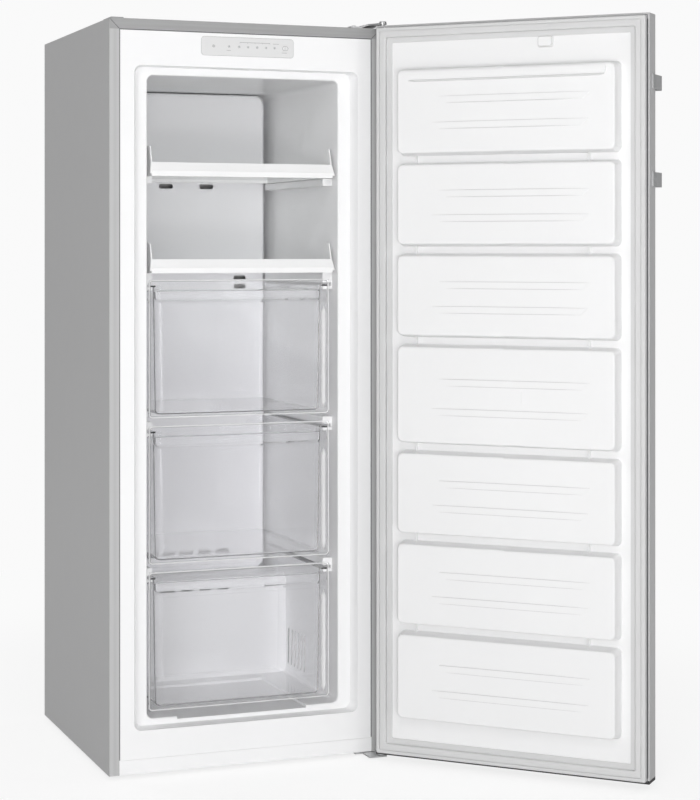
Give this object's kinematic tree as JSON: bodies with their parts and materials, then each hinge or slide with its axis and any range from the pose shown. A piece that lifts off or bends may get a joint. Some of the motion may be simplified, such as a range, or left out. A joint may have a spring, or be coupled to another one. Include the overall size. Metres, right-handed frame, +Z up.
{
  "type": "upright freezer",
  "caption": "Free-standing upright freezer with its right-hinged door open, glass shelves above clear drawers, a control strip over the opening and an upright bar handle.",
  "frame": {"origin": "on the floor under the middle of the cabinet's plan, 550 mm wide by 540 mm deep", "axes": "+X to the right seen from the front, the front faces -Y, +Z up; the door stands open 134 degrees at rest"},
  "size_m": [0.9637, 0.9742, 1.441],
  "materials": {
    "silver_paint": "satin paint",
    "door_silver": "satin paint",
    "white_plastic": "smooth, softly glossy",
    "clear_plastic": "clear",
    "shelf_glass": "polished",
    "light_grey_rubber": "matt",
    "zinc_steel": "zinc plated",
    "black_paint": "semi-gloss paint",
    "copper": "drawn tube",
    "fin_aluminium": "mill finish",
    "foam": "rigid foam",
    "black_plastic": "moulded",
    "grey_plastic": "moulded",
    "black_rubber": "matt",
    "board_green": "lacquered",
    "lamp_plastic": "translucent",
    "handle_silver": "satin anodised"
  },
  "bodies": {
    "cabinet": {"outer_wrapper": "silver_paint", "inner_liner": "white_plastic", "cabinet_foam": "foam", "bottom_pan": "zinc_steel", "back_panel": "zinc_steel", "plinth": "white_plastic", "hinge_hole_cap": "grey_plastic", "evaporator_cover": "white_plastic", "evaporator": "fin_aluminium", "defrost_heater": "fin_aluminium", "drain_channel": "grey_plastic", "fan_motor": "black_plastic", "shelf_upper_frame": "white_plastic", "shelf_upper_glass": "shelf_glass", "shelf_lower_frame": "white_plastic", "shelf_lower_glass": "shelf_glass", "control_panel": "white_plastic", "indicator_lamps": "lamp_plastic", "control_board": "board_green", "top_hinge": "zinc_steel", "top_hinge_pin": "zinc_steel", "top_hinge_screws": "zinc_steel", "bottom_hinge": "zinc_steel", "bottom_hinge_pin": "zinc_steel", "bracket_screws": "zinc_steel", "foot_bracket": "zinc_steel", "roller_bracket_left": "zinc_steel", "roller_bracket_right": "zinc_steel", "roller_axle_left": "zinc_steel", "roller_axle_right": "zinc_steel", "compressor_base": "zinc_steel", "compressor": "black_paint", "compressor_mounts": "black_rubber", "relay_cover": "black_plastic", "refrigerant_pipes": "copper", "filter_drier": "copper", "evaporation_tray": "black_plastic", "cord_grommet": "black_plastic"},
    "door": {"door_skin": "door_silver", "door_foam": "foam", "door_cap_bottom": "grey_plastic", "door_cap_top": "grey_plastic", "hinge_bush_bottom": "grey_plastic", "hinge_bush_top": "grey_plastic", "reed_magnet": "black_paint", "door_stop": "zinc_steel", "door_liner": "white_plastic", "door_gasket": "light_grey_rubber", "handle_bar": "handle_silver", "handle_brackets": "handle_silver", "handle_screws": "zinc_steel"},
    "drawer_upper_body": {"drawer_upper": "clear_plastic"},
    "drawer_middle_body": {"drawer_middle": "clear_plastic"},
    "drawer_lower_body": {"drawer_lower": "clear_plastic"},
    "control_button_body": {"control_button": "white_plastic"},
    "fan_impeller_body": {"fan_impeller": "black_plastic"},
    "roller_left_body": {"roller_left": "black_plastic"},
    "roller_right_body": {"roller_right": "black_plastic"},
    "foot_left_body": {"foot_left": "black_plastic"},
    "foot_right_body": {"foot_right": "black_plastic"}
  },
  "joints": [
    {"name": "door_hinge", "type": "hinge", "parent": "cabinet", "child": "door", "pos_m": [0.2675, -0.298, 0], "axis": [0, 0, 1], "range_deg": [-134, 0]},
    {"name": "drawer_upper_slide", "type": "slide", "parent": "cabinet", "child": "drawer_upper_body", "axis": [0, -1, 0], "range_m": [0, 0.33]},
    {"name": "drawer_middle_slide", "type": "slide", "parent": "cabinet", "child": "drawer_middle_body", "axis": [0, -1, 0], "range_m": [0, 0.33]},
    {"name": "drawer_lower_slide", "type": "slide", "parent": "cabinet", "child": "drawer_lower_body", "axis": [0, -1, 0], "range_m": [0, 0.25]},
    {"name": "button_press", "type": "slide", "parent": "cabinet", "child": "control_button_body", "axis": [0, 1, 0], "range_m": [0, 0.0012], "stiffness_N_per_m": 900, "springref_m": -0.0008},
    {"name": "fan_spin", "type": "hinge", "parent": "cabinet", "child": "fan_impeller_body", "pos_m": [0, 0.182, 1.045], "axis": [0, -1, 0], "continuous": true},
    {"name": "roller_left_spin", "type": "hinge", "parent": "cabinet", "child": "roller_left_body", "pos_m": [-0.232, 0.212, 0.017], "axis": [1, 0, 0], "continuous": true},
    {"name": "roller_right_spin", "type": "hinge", "parent": "cabinet", "child": "roller_right_body", "pos_m": [0.232, 0.212, 0.017], "axis": [1, 0, 0], "continuous": true},
    {"name": "foot_left_turn", "type": "hinge", "parent": "cabinet", "child": "foot_left_body", "pos_m": [-0.24, -0.204, 0], "axis": [0, 0, 1], "range_deg": [-360, 360]},
    {"name": "foot_right_turn", "type": "hinge", "parent": "cabinet", "child": "foot_right_body", "pos_m": [0.24, -0.204, 0], "axis": [0, 0, 1], "range_deg": [-360, 360]}
  ]
}
